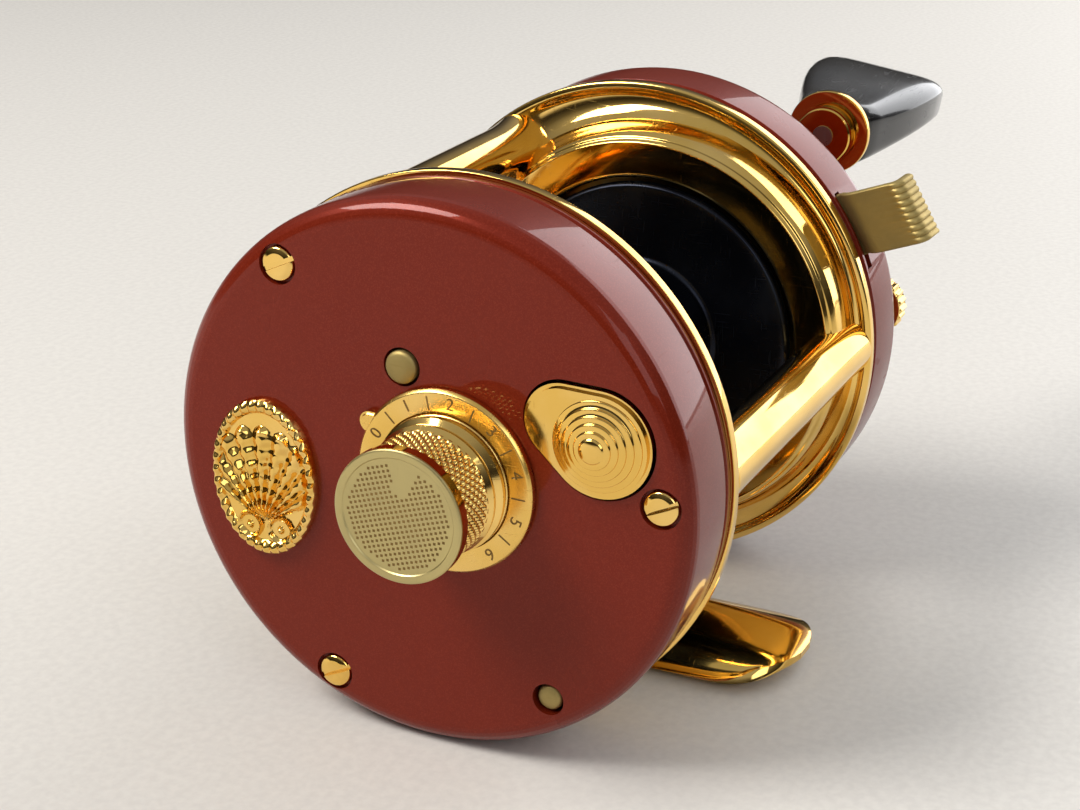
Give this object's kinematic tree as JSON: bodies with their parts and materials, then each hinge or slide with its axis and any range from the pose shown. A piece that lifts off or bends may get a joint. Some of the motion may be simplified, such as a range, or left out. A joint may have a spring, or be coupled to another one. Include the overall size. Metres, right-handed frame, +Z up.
{
  "type": "baitcasting reel",
  "caption": "Round baitcasting fishing reel with gold frame, dark red side covers, black spool, level wind, push button and counterbalanced crank.",
  "frame": {"origin": "middle of the underside of the reel foot, on the crown where it bears on the rod seat", "axes": "+X to the handle side along the spool axis, +Y along the rod towards its tip, +Z up, away from the rod"},
  "size_m": [0.1083, 0.0669, 0.06],
  "materials": {
    "gold": "polished, gold plated",
    "brass": "machined",
    "dull_brass": "dull, lightly tarnished",
    "red_lacquer": "dark red metallic gloss enamel",
    "black_anodised": "black anodised, turned",
    "black_plastic": "gloss",
    "steel": "ground",
    "nylon": "moulded, natural",
    "leather": "oiled friction washer"
  },
  "bodies": {
    "frame": {"left_ring": "gold", "right_ring": "gold", "rear_pillar": "gold", "top_front_pillar": "gold", "bottom_front_pillar": "gold", "foot_bridge": "gold", "reel_foot": "gold", "rear_rivet": "gold", "front_rivet": "gold", "left_cover": "red_lacquer", "top_front_screw": "gold", "bottom_front_screw": "gold", "rear_screw": "gold", "index_pin": "brass", "lower_pin": "brass", "badge": "gold", "left_bridge": "brass", "left_bearing_housing": "brass", "left_bearing": "steel", "button_spring": "steel", "worm_tube": "gold", "guide_rod": "steel", "right_cover": "red_lacquer", "right_bridge": "brass", "right_bearing": "steel"},
    "dial": {"brake_dial": "gold"},
    "cast_adjuster": {"cast_knob": "gold"},
    "release": {"push_button": "gold", "release_arm": "steel", "release_rod": "steel"},
    "shift_yoke": {"yoke": "steel"},
    "sliding_pinion": {"pinion": "brass"},
    "spool_assembly": {"spool": "black_anodised", "spool_shaft": "steel", "spool_gear": "brass"},
    "upper_block": {"upper_brake_block": "nylon"},
    "lower_block": {"lower_brake_block": "nylon"},
    "idler": {"idler_gear": "nylon"},
    "worm": {"worm_shaft": "steel", "worm_gear": "brass"},
    "level_wind": {"line_guide": "gold", "guide_pawl": "steel", "pawl_cap": "brass"},
    "spool_cap": {"right_spool_cap": "gold"},
    "top_front_fastener": {"top_front_thumbscrew": "gold"},
    "bottom_front_fastener": {"bottom_front_thumbscrew": "gold"},
    "rear_fastener": {"rear_thumbscrew": "gold"},
    "crank": {"drive_shaft": "steel", "drive_gear": "brass", "drag_washer": "leather", "ratchet": "steel", "handle_arm": "gold", "counterweight": "gold", "handle_nut": "gold", "knob_spindle": "steel", "knob_collar": "gold"},
    "star": {"star_drag": "gold"},
    "knob": {"handle_knob": "black_plastic"},
    "stop_pawl": {"pawl": "steel"},
    "lever": {"thumb_lever": "dull_brass"}
  },
  "joints": [
    {"name": "crank_turn", "type": "hinge", "parent": "frame", "child": "crank", "pos_m": [0, 0.00922, 0.01914], "axis": [-1, 0, 0], "continuous": true},
    {"name": "star_turn", "type": "hinge", "parent": "crank", "child": "star", "pos_m": [0, 0.00922, 0.01914], "axis": [-1, 0, 0], "range_deg": [0, 150]},
    {"name": "knob_spin", "type": "hinge", "parent": "crank", "child": "knob", "pos_m": [0, -0.01632, 0.04915], "axis": [-1, 0, 0], "continuous": true},
    {"name": "spool_spin", "type": "hinge", "parent": "frame", "child": "spool_assembly", "pos_m": [0, -0.0032, 0.0292], "axis": [-1, 0, 0], "continuous": true},
    {"name": "release_press", "type": "slide", "parent": "frame", "child": "release", "axis": [1, 0, 0], "range_m": [0, 0.0018], "stiffness_N_per_m": 400, "deforming": ["button_spring"]},
    {"name": "yoke_slide", "type": "slide", "parent": "frame", "child": "shift_yoke", "axis": [1, 0, 0], "range_m": [0, 0.0018]},
    {"name": "pinion_spin", "type": "hinge", "parent": "shift_yoke", "child": "sliding_pinion", "pos_m": [0, -0.0032, 0.0292], "axis": [-1, 0, 0], "continuous": true},
    {"name": "idler_spin", "type": "hinge", "parent": "frame", "child": "idler", "pos_m": [0, 0.00876, 0.02655], "axis": [-1, 0, 0], "continuous": true},
    {"name": "worm_spin", "type": "hinge", "parent": "frame", "child": "worm", "pos_m": [0, 0.0225, 0.0271], "axis": [-1, 0, 0], "continuous": true},
    {"name": "line_guide_slide", "type": "slide", "parent": "frame", "child": "level_wind", "axis": [1, 0, 0], "range_m": [-0.0104, 0.0104]},
    {"name": "upper_block_slide", "type": "slide", "parent": "spool_assembly", "child": "upper_block", "axis": [0, 0, 1], "range_m": [0, 0.0012]},
    {"name": "lower_block_slide", "type": "slide", "parent": "spool_assembly", "child": "lower_block", "axis": [0, 0, -1], "range_m": [0, 0.0012]},
    {"name": "dial_turn", "type": "hinge", "parent": "frame", "child": "dial", "pos_m": [0, -0.0032, 0.0292], "axis": [-1, 0, 0], "range_deg": [0, 250]},
    {"name": "cast_knob_turn", "type": "hinge", "parent": "frame", "child": "cast_adjuster", "pos_m": [0, -0.0032, 0.0292], "axis": [-1, 0, 0], "range_deg": [0, 720]},
    {"name": "spool_cap_turn", "type": "hinge", "parent": "frame", "child": "spool_cap", "pos_m": [0, -0.0032, 0.0292], "axis": [1, 0, 0], "range_deg": [0, 720]},
    {"name": "top_front_thumbscrew_turn", "type": "hinge", "parent": "frame", "child": "top_front_fastener", "pos_m": [0, 0.01614, 0.04906], "axis": [1, 0, 0], "range_deg": [0, 720]},
    {"name": "bottom_front_thumbscrew_turn", "type": "hinge", "parent": "frame", "child": "bottom_front_fastener", "pos_m": [0, 0.0108, 0.00396], "axis": [1, 0, 0], "range_deg": [0, 720]},
    {"name": "rear_thumbscrew_turn", "type": "hinge", "parent": "frame", "child": "rear_fastener", "pos_m": [0, -0.02634, 0.0305], "axis": [1, 0, 0], "range_deg": [0, 720]},
    {"name": "pawl_lift", "type": "hinge", "parent": "frame", "child": "stop_pawl", "pos_m": [0, -0.00077, 0.01215], "axis": [1, 0, 0], "range_deg": [0, 12]},
    {"name": "thumb_lever_press", "type": "hinge", "parent": "frame", "child": "lever", "pos_m": [0, -0.0168, 0.038], "axis": [1, 0, 0], "range_deg": [0, 7], "stiffness_Nm_per_rad": 0.05}
  ],
  "couplings": [
    {"joint": "spool_spin", "follows": "crank_turn", "ratio": -4.6667},
    {"joint": "pinion_spin", "follows": "crank_turn", "ratio": -4.6667},
    {"joint": "idler_spin", "follows": "crank_turn", "ratio": 1.5135},
    {"joint": "worm_spin", "follows": "crank_turn", "ratio": -3.1111},
    {"joint": "yoke_slide", "follows": "release_press", "ratio": 1}
  ]
}
